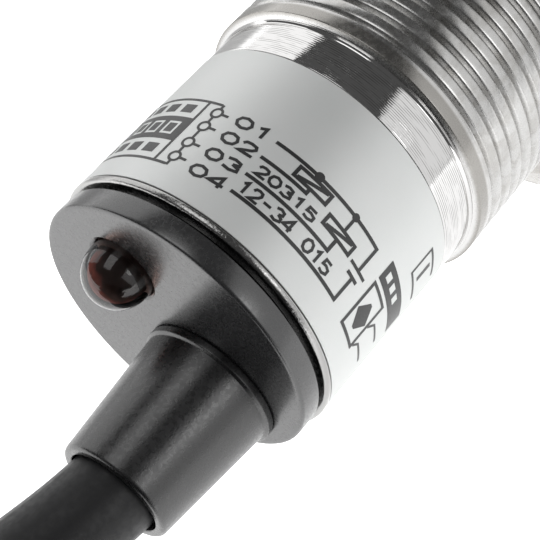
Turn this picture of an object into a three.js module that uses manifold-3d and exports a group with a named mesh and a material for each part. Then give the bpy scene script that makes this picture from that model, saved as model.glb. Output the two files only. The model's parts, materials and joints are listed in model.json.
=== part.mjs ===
// A tubular photoelectric sensor with a threaded M18x1 housing, two mounting nuts and a free cable.
// Millimetres, +Z up. The optical axis runs along +X, from the cable end to the lens.
// The origin is on the ground, under the middle of the sensor, which lies on the flats of its nuts.
// The cable's free length lies wound up behind the sensor, with its end and bare cores on top.
import * as THREE from "three";
import { mergeVertices } from "three/addons/utils/BufferGeometryUtils.js";
import Module from "manifold-3d";

const wasm = await Module();
wasm.setup();

// ---- driving dimensions ----
const ACROSS_FLATS = 24; // spanner size of the nuts
const AXIS_HEIGHT = ACROSS_FLATS / 2;
const SLACK = 0.05; // between pieces that are glued, pressed or screwed together
const CUT_GAP = 0.3; // between a piece and whatever is cut to clear it
const ROUND = 36; // facets round a turned piece

const BOOT_END = -38; // stations along the axis, from the rear
const CAP_FACE = -30.1;
const BARREL_REAR = -28.4;
const LABEL_REAR = -28;
const LABEL_FRONT = -17.8;
const SHOULDER = -15.25;
const BARREL_FRONT = 34.6;
const BEZEL_FACE = 38;
const LABEL_THICKNESS = 0.07;
const LABEL_RECESS = 0.12; // depth of the recess that holds the label
const LABEL_SEAM = 0.05; // half the gap where its ends meet, underneath, in radians
const MOUTH_CHAMFER = 0.4; // of the housing's front edge

const THREAD_R = 9; // M18: the thread's crest
const BODY_R = 8.48; // smooth rear of the housing
const LABEL_R = 8.5;
const BORE_R = 7.6;
const CAP_R = 8.3;
const PLUG_R = 7.45; // the part of a cap or bezel that is inside the housing
const SEAL_GROOVE_R = 6.95;
const SEAL_GROOVE_WIDTH = 0.8;
const SEAL_R = 7.3; // to the middle of a seal's section
const SEAL_SECTION_R = 0.25;
const FRONT_GROOVE = 31.6; // rear edge of the bezel's seal groove
const BEZEL_REAR = 30.5;
const BEZEL_R = 8.4;
const BEZEL_BORE_R = 6.7;
const WINDOW_R = 7.3;
const WINDOW_SEAT = BEZEL_FACE - 1.6;
const WINDOW_FACE = BEZEL_FACE - 0.35;

// The rear cap, measured forward from its face.
const CAP = { wall: 2.9, length: 5.8, groove: 1.75, cavityR: 5.9, edge: 0.2, rimGap: 0.35 };

const LAMP = [2.94, 3]; // y and z of the indicator, from the axis
const CABLE = [-2.5, -2.6]; // y and z of the cable, from the axis
const LAMP_R = 1.88;
const LAMP_FLANGE = { rear: 1.65, front: 2.5, proud: 0.45 }; // from the cap's face
const LAMP_LENGTH = 4.2; // from the cap's face
const LAMP_LEAD_Y = 0.64; // from the lamp's axis
const LEAD_R = 0.25;
const CABLE_R = 2.5;
const BOOT_BORE_R = 2.7;
const BOOT_NECK_R = 2.95;
const BOOT_FLANGE_R = 4.02;
const BOOT_SEAT_R = 3.3; // clearance behind the cap's wall
const CRIMP = { length: 2, r: 3.2 };
const CORE_R = 0.6; // one insulated conductor
const TINNED_R = 0.4;

const BOARD = { rear: -19, front: 18, halfWidth: 5.9, halfThickness: 0.5 };
const OPTICS_BOARD_X = 18.6;
const HOLDER = { rear: 20.2, front: 36.1, r: 6.6 };
const CHANNEL_Y = 3.2; // the two light channels are side by side
const CHANNEL_R = 2.55;

const NUT_THICKNESS = 4;
const WASHER_THICKNESS = 1;
const NUT_BORE_R = 9.1;
const NUT_CHAMFER = 0.4;
const NUT_MOUTH = 0.5; // chamfer of the bore
const REAR_NUT_X = -3.5;
const FRONT_NUT_X = 14.05;
const WASHER = { bore: 9.2, root: 10.7, tip: 11.8, teeth: 12 };

// The cable's route from the boot, chosen by hand: down to the ground and back to the coil.
const LEAD_ROUTE = [
  [-37.3, -2.5, 9.4],
  [-38.6, -2.36, 9.4],
  [-40.4, -2.08, 9.33],
  [-42.4, -1.62, 9.16],
  [-44.8, -0.88, 8.74],
  [-47.6, 0.05, 7.98],
  [-50.8, 1.12, 6.86],
  [-54, 2.18, 5.6],
  [-57, 3.17, 4.55],
];
// The rest of it lies wound up behind: radii are to the middle of the cable.
const COIL = { x: -84.6, y: -20, inner: 19.4, outer: 30.6, layers: 5, layerPitch: 5.06, lift: 0.7 };
const COIL_EDGE_R = 2;
// The cable's end lies on the coil. Each point is an angle round the coil, in degrees, and a radius.
const TAIL_ROUTE = [
  [172, 20.2],
  [194, 21.4],
  [216, 22.9],
  [237, 24.5],
  [257, 26],
];
// Where each bare conductor ends: its radius on the coil, and its place in the cable's section.
const CORES = {
  brown: { endR: 22.3, across: -0.9, up: 0.9 },
  white: { endR: 24.9, across: -0.9, up: -0.9 },
  blue: { endR: 27.5, across: 0.9, up: -0.9 },
  black: { endR: 30.1, across: 0.9, up: 0.9 },
};
const STRAP = { angle: 15, width: 5, thickness: 0.4, inside: 0.5, outside: 0.3 };

// ---- materials ----
function material(color, roughness, metalness, extra = {}) {
  return new THREE.MeshStandardMaterial({ color, roughness, metalness, ...extra });
}
const NICKEL = material(0xc9c8c4, 0.22, 1);
const STEEL = material(0xb9bbbd, 0.35, 1);
const FOIL = material(0xc6c8c7, 0.4, 0.6);
const BLACK_PLASTIC = material(0x1c1c1d, 0.45, 0);
const BLACK_RUBBER = material(0x151516, 0.6, 0);
const BOARD_GREEN = material(0x1d5a36, 0.5, 0);
const CHIP = material(0x202124, 0.55, 0);
const CERAMIC = material(0xb79a72, 0.5, 0);
const TANTALUM = material(0xd79b2a, 0.5, 0);
const RESIN = material(0x2b2622, 0.35, 0);
const COPPER_TIN = material(0xb8b6b0, 0.3, 1);
const BRASS = material(0xb8924a, 0.35, 1);
const CLEAR = material(0xe8e4dc, 0.05, 0, { transparent: true, opacity: 0.35 });
const RED_CLEAR = material(0xb01818, 0.08, 0, { transparent: true, opacity: 0.55 });
const FILM = material(0x6b6a72, 0.15, 0, { transparent: true, opacity: 0.5 });
const CORE_COLOURS = { brown: 0x5a3018, black: 0x18181a, white: 0xe9e7e0, blue: 0x1f4fa8 };

// ---- groups: the sensor's own axis is its X axis ----
const root = new THREE.Group();
const sensor = new THREE.Group();
sensor.position.z = AXIS_HEIGHT;
root.add(sensor);

// ---- shape helpers ----
function add(group, name, geometry, look) {
  const mesh = new THREE.Mesh(geometry, look);
  mesh.name = name;
  group.add(mesh);
  return mesh;
}

// A turned piece about the X axis, from an outline of [x, radius] in either direction.
// It is closed here, unless it begins and ends on the axis.
function turned(outline, [y, z] = [0, 0], facets = ROUND) {
  const points = outline.map(([x, r]) => new THREE.Vector2(Math.max(r, 0), x));
  const onAxis = points[0].x === 0 && points.at(-1).x === 0;
  if (!onAxis) points.push(points[0].clone());
  const area = points.reduce((sum, p, i) => {
    const q = points[(i + 1) % points.length];
    return sum + p.x * q.y - q.x * p.y;
  }, 0);
  if (area < 0) points.reverse();
  const geometry = new THREE.LatheGeometry(points, facets);
  geometry.rotateZ(-Math.PI / 2);
  geometry.translate(0, y, z);
  return geometry;
}

// A ring between two stations and two radii.
function sleeve(x0, x1, inner, outer, at, facets) {
  return turned([[x0, inner], [x1, inner], [x1, outer], [x0, outer]], at, facets);
}

// A solid rod between two stations.
function rod(x0, x1, r, at, facets) {
  return turned([[x0, 0], [x0, r], [x1, r], [x1, 0]], at, facets);
}

// A quarter arc of an outline, about (x, r), from one angle to another, in degrees.
function arc(x, r, radius, from, to, steps) {
  return Array.from({ length: steps + 1 }, (_, i) => {
    const a = ((from + ((to - from) * i) / steps) * Math.PI) / 180;
    return [x + radius * Math.cos(a), r + radius * Math.sin(a)];
  });
}

// A round seal of circular section, in a groove that starts at x.
function seal(x) {
  const middle = x + SEAL_GROOVE_WIDTH / 2;
  return turned(arc(middle, SEAL_R, SEAL_SECTION_R, 0, 315, 7), [0, 0], 24);
}

function block(x0, x1, y0, y1, z0, z1) {
  const geometry = new THREE.BoxGeometry(x1 - x0, y1 - y0, z1 - z0);
  geometry.translate((x0 + x1) / 2, (y0 + y1) / 2, (z0 + z1) / 2);
  return geometry;
}

// A round wire or cable along a smooth curve through points.
function wire(points, r, steps, sides = 8) {
  const path = new THREE.CatmullRomCurve3(
    points.map((p) => new THREE.Vector3(...p)),
    false,
    "centripetal",
  );
  const section = new THREE.Shape(
    Array.from({ length: sides }, (_, i) => {
      const a = (2 * Math.PI * i) / sides;
      return new THREE.Vector2(r * Math.cos(a), r * Math.sin(a));
    }),
  );
  return new THREE.ExtrudeGeometry(section, { steps, extrudePath: path, bevelEnabled: false });
}

// A flat outline in the YZ plane, carried along X from x0 to x1.
function profileAlongX(shape, x0, x1) {
  const options = { depth: x1 - x0, bevelEnabled: false, curveSegments: ROUND };
  const geometry = new THREE.ExtrudeGeometry(shape, options);
  geometry.applyMatrix4(
    new THREE.Matrix4().makeBasis(
      new THREE.Vector3(0, 1, 0),
      new THREE.Vector3(0, 0, 1),
      new THREE.Vector3(1, 0, 0),
    ),
  );
  geometry.translate(x0, 0, 0);
  return geometry;
}

function circleHole(r) {
  return new THREE.Path(
    Array.from({ length: ROUND }, (_, i) => {
      const a = (2 * Math.PI * i) / ROUND;
      return new THREE.Vector2(r * Math.cos(a), r * Math.sin(a));
    }),
  );
}

// ---- booleans ----
function solidOf(geometry) {
  const bare = geometry.clone();
  for (const extra of ["normal", "uv"]) bare.deleteAttribute(extra);
  const merged = mergeVertices(bare, 1e-4);
  return new wasm.Manifold(
    new wasm.Mesh({
      numProp: 3,
      vertProperties: merged.attributes.position.array,
      triVerts: new Uint32Array(merged.index.array),
    }),
  );
}

function geometryOf(solid) {
  const mesh = solid.getMesh();
  const geometry = new THREE.BufferGeometry();
  geometry.setAttribute("position", new THREE.BufferAttribute(mesh.vertProperties, 3));
  geometry.setIndex(new THREE.BufferAttribute(mesh.triVerts, 1));
  geometry.computeVertexNormals();
  return geometry;
}

function cut(geometry, tools) {
  return geometryOf(tools.reduce((left, tool) => left.subtract(solidOf(tool)), solidOf(geometry)));
}

// ---- housing ----
function buildHousing() {
  const outline = [
    [BARREL_REAR, BORE_R],
    [BARREL_FRONT, BORE_R],
    [BARREL_FRONT, THREAD_R - MOUTH_CHAMFER],
    [BARREL_FRONT - MOUTH_CHAMFER, THREAD_R],
    [SHOULDER, THREAD_R],
    [SHOULDER - 0.3, BODY_R],
    [LABEL_FRONT, BODY_R],
    [LABEL_FRONT, LABEL_R - LABEL_RECESS],
    [LABEL_REAR, LABEL_R - LABEL_RECESS],
    [LABEL_REAR, LABEL_R],
    [BARREL_REAR + 0.15, LABEL_R],
    [BARREL_REAR, LABEL_R - 0.15],
  ];
  add(sensor, "barrel", turned(outline), NICKEL);

  // The foil wraps round the housing and leaves a narrow seam underneath.
  const from = -Math.PI / 2 + LABEL_SEAM;
  const to = 1.5 * Math.PI - LABEL_SEAM;
  const foil = new THREE.Shape();
  foil.absarc(0, 0, LABEL_R, from, to, false);
  foil.absarc(0, 0, LABEL_R - LABEL_THICKNESS, to, from, true);
  foil.closePath();
  const label = profileAlongX(foil, LABEL_REAR + SLACK, LABEL_FRONT - SLACK);
  add(sensor, "label_foil", label, FOIL);
}

// ---- rear end ----
function buildRearCap() {
  const wall = CAP_FACE + CAP.wall;
  const plugFront = CAP_FACE + CAP.length;
  const grooveRear = CAP_FACE + CAP.groove;
  const grooveFront = grooveRear + SEAL_GROOVE_WIDTH;
  const sideFront = BARREL_REAR - CAP.rimGap;
  const outline = [
    [CAP_FACE, 0],
    ...arc(CAP_FACE + CAP.edge, CAP_R - CAP.edge, CAP.edge, 180, 90, 3),
    [sideFront, CAP_R],
    [sideFront, PLUG_R],
    [grooveRear, PLUG_R],
    [grooveRear, SEAL_GROOVE_R],
    [grooveFront, SEAL_GROOVE_R],
    [grooveFront, PLUG_R],
    [plugFront, PLUG_R],
    [plugFront, CAP.cavityR],
    [wall, CAP.cavityR],
    [wall, 0],
  ];
  const [behind, beyond] = [CAP_FACE - 1, plugFront + 1];
  const flangeSeat = CAP_FACE + LAMP_FLANGE.rear - SLACK;
  const cap = cut(turned(outline), [
    rod(behind, beyond, LAMP_R + 0.07, LAMP, 24),
    rod(flangeSeat, beyond, LAMP_R + LAMP_FLANGE.proud + 0.07, LAMP, 24),
    rod(behind, beyond, BOOT_NECK_R + SLACK, CABLE, 32),
    rod(wall, beyond, BOOT_SEAT_R, CABLE, 32),
  ]);
  add(sensor, "rear_cap", cap, BLACK_PLASTIC);
  add(sensor, "rear_seal", seal(grooveRear), BLACK_RUBBER);
}

function buildIndicator() {
  const domeX = CAP_FACE - 0.3;
  const flangeR = LAMP_R + LAMP_FLANGE.proud;
  const [, ...dome] = arc(domeX, 0, LAMP_R, 180, 90, 6);
  const lamp = [
    [domeX - LAMP_R, 0],
    ...dome,
    [CAP_FACE + LAMP_FLANGE.rear, LAMP_R],
    [CAP_FACE + LAMP_FLANGE.rear, flangeR],
    [CAP_FACE + LAMP_FLANGE.front, flangeR],
    [CAP_FACE + LAMP_FLANGE.front, LAMP_R],
    [CAP_FACE + LAMP_LENGTH, LAMP_R],
    [CAP_FACE + LAMP_LENGTH, 0],
  ];
  add(sensor, "indicator_lens", turned(lamp, LAMP, 24), CLEAR);

  // Each lead runs forward from the lamp, bends down to the board and lies on its pad.
  const [y, z] = LAMP;
  const onPad = BOARD.halfThickness + LEAD_R + SLACK;
  for (const [name, side] of [["indicator_anode", 1], ["indicator_cathode", -1]]) {
    const lead = [
      [CAP_FACE + LAMP_LENGTH + SLACK, y + LAMP_LEAD_Y * side, z],
      [CAP_FACE + 8, y + LAMP_LEAD_Y * side, z],
      [CAP_FACE + 10.5, y + 0.8 * side, z - 1.2],
      [CAP_FACE + 12.2, y + 1 * side, onPad],
      [CAP_FACE + 14.4, y + 1 * side, onPad],
    ];
    add(sensor, name, wire(lead, LEAD_R, 12, 8), COPPER_TIN);
  }
}

function buildStrainRelief() {
  const flange = CAP_FACE - SLACK;
  const neckEnd = CAP_FACE + CAP.wall - SLACK;
  const grip = CABLE_R + SLACK;
  const outline = [
    [BOOT_END, BOOT_BORE_R],
    ...arc(BOOT_END + 0.3, 2.92, 0.3, 180, 90, 3),
    [flange - 0.45, 3.84],
    [flange - 0.4, BOOT_FLANGE_R],
    [flange, BOOT_FLANGE_R],
    [flange, BOOT_NECK_R],
    [neckEnd, BOOT_NECK_R],
    [neckEnd, grip],
    [BOOT_END + 2, grip],
  ];
  add(sensor, "strain_relief", turned(outline, CABLE, 28), BLACK_RUBBER);
  const clamp = CAP_FACE + CAP.wall + SLACK;
  const crimp = sleeve(clamp, clamp + CRIMP.length, grip, CRIMP.r, CABLE, 28);
  add(sensor, "cable_crimp", crimp, BRASS);
  const jacketEnd = clamp + CRIMP.length + 0.2;
  add(sensor, "cable_inside", rod(BOOT_END + 1, jacketEnd, CABLE_R, CABLE, 24), BLACK_RUBBER);
}

// The four conductors inside, from the end of the jacket to pads under the board.
function innerCores() {
  const start = CAP_FACE + 5.2;
  const pad = -BOARD.halfThickness - 0.3 - CORE_R;
  const padY = { brown: -5, white: -3.1, black: -1.2, blue: 0.7 };
  return Object.entries(CORES).map(([colour, { across, up }]) => {
    const [y, z] = [CABLE[0] + across, CABLE[1] + up];
    const route = [
      [start, y, z],
      [start + 2, y, z],
      [start + 6, (y + padY[colour]) / 2, (z + pad) / 2],
      [start + 10, padY[colour], pad],
      [start + 11.5 - up, padY[colour], pad],
    ];
    return { colour, route };
  });
}

function buildInnerCores() {
  for (const { colour, route } of innerCores()) {
    const look = material(CORE_COLOURS[colour], 0.5, 0);
    add(sensor, "inner_core_" + colour, wire(route, CORE_R, 8, 8), look);
  }
  const potting = rod(CAP_FACE + 6.2, CAP_FACE + 8.8, PLUG_R, [0, 0], ROUND);
  const cores = innerCores().map(({ route }) => wire(route, CORE_R + CUT_GAP, 8, 8));
  const leads = [-0.64, 0.64].map((side) => {
    const at = [LAMP[0] + side, LAMP[1]];
    return rod(CAP_FACE + 6, CAP_FACE + 9, 0.75, at, 12);
  });
  add(sensor, "potting_disc", cut(potting, [...cores, ...leads]), RESIN);
}

// ---- electronics ----
function buildBoards() {
  const { rear, front, halfWidth, halfThickness } = BOARD;
  const board = block(rear, front, -halfWidth, halfWidth, -halfThickness, halfThickness);
  add(sensor, "main_board", board, BOARD_GREEN);
  add(sensor, "optics_board", rod(OPTICS_BOARD_X, OPTICS_BOARD_X + 1, 6.7, [0, 0], 36), BOARD_GREEN);

  // Each part on the board: name, middle along x and y, length, width, height, look.
  const top = halfThickness + SLACK;
  const parts = [
    ["input_capacitor", -12.5, 3.4, 3.5, 2.8, 1.9, TANTALUM],
    ["protection_diode_1", -11.5, -3.6, 4.3, 2.6, 2.1, CHIP],
    ["protection_diode_2", -11.5, -0.2, 4.3, 2.6, 2.1, CHIP],
    ["voltage_regulator", -5.8, 3, 4.5, 2.5, 1.5, CHIP],
    ["output_transistor_1", -5.8, -3.6, 4.5, 2.5, 1.5, CHIP],
    ["output_transistor_2", -5.8, -0.3, 4.5, 2.5, 1.5, CHIP],
    ["signal_chip", 1.5, 0, 5, 6.2, 1.6, CHIP],
    ["amplifier_chip", 11.5, 0, 5, 4, 1.5, CHIP],
    ["ceramic_capacitor_1", 6.4, 3, 2, 1.25, 1, CERAMIC],
    ["ceramic_capacitor_2", 6.4, -3, 2, 1.25, 1, CERAMIC],
    ["resistor_1", 6.4, 1, 2, 1.25, 0.6, CHIP],
    ["resistor_2", 6.4, -1, 2, 1.25, 0.6, CHIP],
    ["resistor_3", 11.5, 4, 2, 1.25, 0.6, CHIP],
    ["resistor_4", 11.5, -4, 2, 1.25, 0.6, CHIP],
  ];
  for (const [name, x, y, length, width, height, look] of parts) {
    const [l, w] = [length / 2, width / 2];
    add(sensor, name, block(x - l, x + l, y - w, y + w, top, top + height), look);
  }
}

// ---- optics ----
function buildOptics() {
  const channels = [CHANNEL_Y, -CHANNEL_Y].map((y) =>
    rod(HOLDER.rear - 1, HOLDER.front + 1, CHANNEL_R, [y, 0], 32),
  );
  const slot = block(28, HOLDER.front + 1, -0.3 - SLACK, 0.3 + SLACK, -5.5, 5.5);
  const holder = rod(HOLDER.rear, HOLDER.front, HOLDER.r, [0, 0], ROUND);
  add(sensor, "optics_holder", cut(holder, [...channels, slot]), BLACK_PLASTIC);
  const barrier = block(28 + SLACK, HOLDER.front, -0.3, 0.3, -5.4, 5.4);
  add(sensor, "light_barrier", barrier, BLACK_PLASTIC);

  // Plano-convex lenses: flat in front, and a shallow dome behind.
  const flat = HOLDER.front - 0.3;
  const lensR = CHANNEL_R - SLACK;
  const dome = Array.from({ length: 6 }, (_, i) => {
    const r = (lensR * i) / 5;
    return [flat - 2.2 + 1.2 * (r / lensR) ** 2, r];
  });
  const lens = [...dome, [flat, lensR], [flat, 0]];
  const film = [HOLDER.front + SLACK, HOLDER.front + 0.25];
  for (const [side, y] of [["emitter", CHANNEL_Y], ["receiver", -CHANNEL_Y]]) {
    add(sensor, side + "_lens", turned(lens, [y, 0], 32), CLEAR);
    add(sensor, side + "_polariser", rod(...film, 2.9, [y, 0], 32), FILM);
  }

  const base = OPTICS_BOARD_X + 1 + SLACK;
  const emitter = [
    [base, 0],
    [base, 1.9],
    [base + 1, 1.9],
    [base + 1, 1.5],
    ...arc(base + 3.3, 0, 1.5, 90, 0, 5),
  ];
  emitter[emitter.length - 1] = [base + 4.8, 0];
  add(sensor, "emitter_led", turned(emitter, [CHANNEL_Y, 0], 24), RED_CLEAR);
  const receiver = block(base, base + 1.3, -CHANNEL_Y - 1.5, -CHANNEL_Y + 1.5, -1.6, 1.6);
  add(sensor, "receiver_diode", receiver, CHIP);
}

function buildFrontEnd() {
  const grooveFront = FRONT_GROOVE + SEAL_GROOVE_WIDTH;
  const shoulder = BARREL_FRONT + SLACK;
  const bezel = [
    [BEZEL_REAR, BEZEL_BORE_R],
    [WINDOW_SEAT, BEZEL_BORE_R],
    [WINDOW_SEAT, WINDOW_R + SLACK],
    [BEZEL_FACE, WINDOW_R + SLACK],
    ...arc(BEZEL_FACE - 0.4, BEZEL_R - 0.4, 0.4, 0, 90, 2),
    [shoulder, BEZEL_R],
    [shoulder, PLUG_R],
    [grooveFront, PLUG_R],
    [grooveFront, SEAL_GROOVE_R],
    [FRONT_GROOVE, SEAL_GROOVE_R],
    [FRONT_GROOVE, PLUG_R],
    [BEZEL_REAR, PLUG_R],
  ];
  add(sensor, "front_bezel", turned(bezel), BLACK_PLASTIC);
  add(sensor, "front_seal", seal(FRONT_GROOVE), BLACK_RUBBER);
  const pane = rod(WINDOW_SEAT + SLACK, WINDOW_FACE, WINDOW_R, [0, 0], ROUND);
  add(sensor, "front_window", pane, RED_CLEAR);
}

// ---- mounting hardware ----
function nut(x0) {
  const x1 = x0 + NUT_THICKNESS;
  const cornerR = ACROSS_FLATS / Math.sqrt(3);
  const hexagon = new THREE.Shape(
    Array.from({ length: 6 }, (_, i) => {
      const a = (i * Math.PI) / 3;
      return new THREE.Vector2(cornerR * Math.cos(a), cornerR * Math.sin(a));
    }),
  );
  const chamferR = ACROSS_FLATS / 2 - NUT_CHAMFER; // the faces are turned down to a circle
  const rise = (cornerR - chamferR) * Math.tan(Math.PI / 6);
  const turnedBlank = [
    [x0, 0],
    [x0, chamferR],
    [x0 + rise, cornerR],
    [x1 - rise, cornerR],
    [x1, chamferR],
    [x1, 0],
  ];
  const chamfered = solidOf(profileAlongX(hexagon, x0, x1)).intersect(solidOf(turned(turnedBlank)));
  const mouth = NUT_MOUTH;
  const bore = [
    [x0 - 1, 0],
    [x0 - 1, NUT_BORE_R + mouth],
    [x0, NUT_BORE_R + mouth],
    [x0 + mouth, NUT_BORE_R],
    [x1 - mouth, NUT_BORE_R],
    [x1, NUT_BORE_R + mouth],
    [x1 + 1, NUT_BORE_R + mouth],
    [x1 + 1, 0],
  ];
  return geometryOf(chamfered.subtract(solidOf(turned(bore))));
}

function washer(x0) {
  const { bore, root: rootR, tip, teeth } = WASHER;
  const outline = [];
  for (let i = 0; i < teeth; i += 1) {
    for (const [turn, r] of [[0, tip], [0.45, tip], [0.55, rootR], [0.9, rootR]]) {
      const a = ((i + turn) * 2 * Math.PI) / teeth;
      outline.push(new THREE.Vector2(r * Math.cos(a), r * Math.sin(a)));
    }
  }
  const ring = new THREE.Shape(outline);
  ring.holes.push(circleHole(bore));
  return profileAlongX(ring, x0, x0 + WASHER_THICKNESS);
}

function buildHardware() {
  add(sensor, "rear_nut", nut(REAR_NUT_X), NICKEL);
  add(sensor, "rear_washer", washer(REAR_NUT_X + NUT_THICKNESS + SLACK), STEEL);
  add(sensor, "front_washer", washer(FRONT_NUT_X - SLACK - WASHER_THICKNESS), STEEL);
  add(sensor, "front_nut", nut(FRONT_NUT_X), NICKEL);
}

// ---- free cable ----
const COIL_TOP = COIL.lift + COIL.layers * COIL.layerPitch;
const TAIL_Z = COIL_TOP + CUT_GAP + CABLE_R;

// A point by its angle round the coil, in degrees, its radius and its height.
function onCoil(angle, r, z) {
  const a = (angle * Math.PI) / 180;
  return [COIL.x + r * Math.cos(a), COIL.y + r * Math.sin(a), z];
}

function buildCable() {
  add(root, "cable_lead", wire(LEAD_ROUTE, CABLE_R, 16, 12), BLACK_RUBBER);

  const [inner, outer] = [COIL.inner - CABLE_R, COIL.outer + CABLE_R];
  const edge = COIL_EDGE_R;
  const ring = [
    ...arc(COIL.lift + edge, outer - edge, edge, 180, 90, 2),
    ...arc(COIL_TOP - edge, outer - edge, edge, 90, 0, 2),
    ...arc(COIL_TOP - edge, inner + edge, edge, 0, -90, 2),
    ...arc(COIL.lift + edge, inner + edge, edge, -90, -180, 2),
  ];
  const coil = turned(ring);
  coil.rotateY(-Math.PI / 2);
  coil.translate(COIL.x, COIL.y, 0);
  add(root, "cable_coil", coil, BLACK_RUBBER);

  const tail = TAIL_ROUTE.map(([angle, r]) => onCoil(angle, r, TAIL_Z));
  add(root, "cable_tail", wire(tail, CABLE_R, 10, 12), BLACK_RUBBER);
}

function buildBareCores() {
  const [endAngle, endR] = TAIL_ROUTE.at(-1);
  const rest = COIL_TOP + CORE_R + SLACK;
  for (const [colour, { endR: r, across, up }] of Object.entries(CORES)) {
    const startR = endR + across;
    const route = [
      [1.6, startR, TAIL_Z + up],
      [4, startR + 0.1, TAIL_Z + up],
      [14, startR + 0.45 * (r - startR), (TAIL_Z + up + rest) / 2],
      [27, startR + 0.85 * (r - startR), rest],
      [38, r, rest],
      [50, r, rest],
    ].map(([turn, radius, z]) => onCoil(endAngle + turn, radius, z));
    add(root, "core_" + colour, wire(route, CORE_R, 10, 8), material(CORE_COLOURS[colour], 0.5, 0));
    const tip = [50.5, 55, 60].map((turn) => onCoil(endAngle + turn, r, rest));
    add(root, "core_tip_" + colour, wire(tip, TINNED_R, 4, 8), COPPER_TIN);
  }
}

// A strap round the coil's section, standing in a radial plane.
function buildStrap() {
  const inside = {
    r0: COIL.inner - CABLE_R - STRAP.inside,
    r1: COIL.outer + CABLE_R + STRAP.outside,
  };
  const rectangle = (grow) => [
    new THREE.Vector2(inside.r0 - grow, COIL.lift - CUT_GAP - grow),
    new THREE.Vector2(inside.r1 + grow, COIL.lift - CUT_GAP - grow),
    new THREE.Vector2(inside.r1 + grow, COIL_TOP + CUT_GAP + grow),
    new THREE.Vector2(inside.r0 - grow, COIL_TOP + CUT_GAP + grow),
  ];
  const band = new THREE.Shape(rectangle(STRAP.thickness));
  band.holes.push(new THREE.Path(rectangle(0)));
  const strap = new THREE.ExtrudeGeometry(band, { depth: STRAP.width, bevelEnabled: false });
  strap.translate(0, 0, -STRAP.width / 2);
  strap.rotateX(Math.PI / 2);
  strap.rotateZ((STRAP.angle * Math.PI) / 180);
  strap.translate(COIL.x, COIL.y, 0);
  add(root, "coil_strap", strap, BLACK_RUBBER);
}

buildHousing();
buildRearCap();
buildIndicator();
buildStrainRelief();
buildInnerCores();
buildBoards();
buildOptics();
buildFrontEnd();
buildHardware();
buildCable();
buildBareCores();
buildStrap();

export default root;
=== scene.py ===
"""A tubular photoelectric sensor with a threaded housing, two mounting nuts and a free cable.

Lengths are in millimetres until they reach a mesh, and X runs along the sensor's axis.
"""

import json
import math

import bmesh
import bpy
import numpy as np
from mathutils import Matrix, Vector


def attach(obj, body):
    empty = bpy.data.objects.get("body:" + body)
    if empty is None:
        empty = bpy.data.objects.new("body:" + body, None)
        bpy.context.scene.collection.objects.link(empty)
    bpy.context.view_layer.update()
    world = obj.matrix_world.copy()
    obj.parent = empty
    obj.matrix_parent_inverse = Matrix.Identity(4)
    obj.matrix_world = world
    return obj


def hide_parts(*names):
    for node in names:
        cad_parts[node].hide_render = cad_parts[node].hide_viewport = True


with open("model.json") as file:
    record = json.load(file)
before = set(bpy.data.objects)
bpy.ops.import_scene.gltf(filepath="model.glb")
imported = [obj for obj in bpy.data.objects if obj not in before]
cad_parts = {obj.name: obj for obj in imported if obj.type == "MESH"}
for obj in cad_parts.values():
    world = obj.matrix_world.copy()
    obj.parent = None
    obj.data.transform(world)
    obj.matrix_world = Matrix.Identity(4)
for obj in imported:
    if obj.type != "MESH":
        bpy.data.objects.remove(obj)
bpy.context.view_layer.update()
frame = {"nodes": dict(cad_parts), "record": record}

MM = 0.001
AXIS_Z = 12.0  # height of the sensor's axis above the ground

# ---- stations and radii, as in the CAD ----
BOOT_END = -38.0
CAP_FACE = -30.1
BARREL_REAR = -28.4
LABEL_REAR = -28.0
LABEL_FRONT = -17.8
NECK_END = -15.5
LAND_START = -15.25
LAND_END = -14.5
BARREL_FRONT = 34.6
BEZEL_FACE = 38.0
THREAD_R = 9.0
NECK_R = 8.48
LABEL_R = 8.5
LABEL_RECESS = 0.12  # depth of the recess that holds the label
LABEL_THICKNESS = 0.07
BORE_R = 7.6
CAP_R = 8.3
PLUG_R = 7.45
SEAL_GROOVE_R = 6.95
SEAL_GROOVE_WIDTH = 0.8
LAMP = (2.94, 3.0)
LAMP_R = 1.88
LAMP_FLANGE = (1.65, 2.5, 0.45)  # its rear and front from the cap's face, and how far it is proud
LAMP_LENGTH = 4.2
CABLE = (-2.5, -2.6)
CABLE_R = 2.5
BOOT_NECK_R = 2.95
BOOT_FLANGE_R = 4.02
CORE_R = 0.6
TINNED_R = 0.4
ACROSS_FLATS = 24.0
NUT_THICKNESS = 4.0
WASHER_THICKNESS = 1.0
REAR_NUT_X = -3.5
FRONT_NUT_X = 14.05
HARDWARE_GAP = 0.05

# ---- the thread: M18 x 1, right-handed ----
PITCH = 1.0
NUT_PLAY = 0.06
RUN_OUT = 0.7  # length over which the thread fades into the plain land
GROOVE_X = -14.35  # a groove's middle where the angle from +Y is zero

def linked(name, data):
    """A new object in the scene."""
    obj = bpy.data.objects.new(name, data)
    bpy.context.scene.collection.objects.link(obj)
    return obj


# ---- camera ----
AIM = Vector((-24.14, -1.79, 12.0)) * MM
VIEW_DISTANCE = 77.17 * MM
VIEW_AZIMUTH = 36.95  # heading of the view, from +X towards +Y
VIEW_ELEVATION = 56.56
LENS = 98.6
SENSOR_WIDTH = 36.0
CLIP = (0.002, 20.0)  # metres


def build_camera():
    heading, tilt = math.radians(VIEW_AZIMUTH), math.radians(VIEW_ELEVATION)
    forward = Vector((
        math.cos(tilt) * math.cos(heading),
        math.cos(tilt) * math.sin(heading),
        -math.sin(tilt),
    ))
    data = bpy.data.cameras.new("camera")
    data.lens = LENS
    data.sensor_width = SENSOR_WIDTH
    data.clip_start, data.clip_end = CLIP
    camera = linked("camera", data)
    camera.location = AIM - VIEW_DISTANCE * forward
    camera.rotation_euler = forward.to_track_quat("-Z", "Y").to_euler()
    bpy.context.scene.camera = camera


build_camera()

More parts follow.
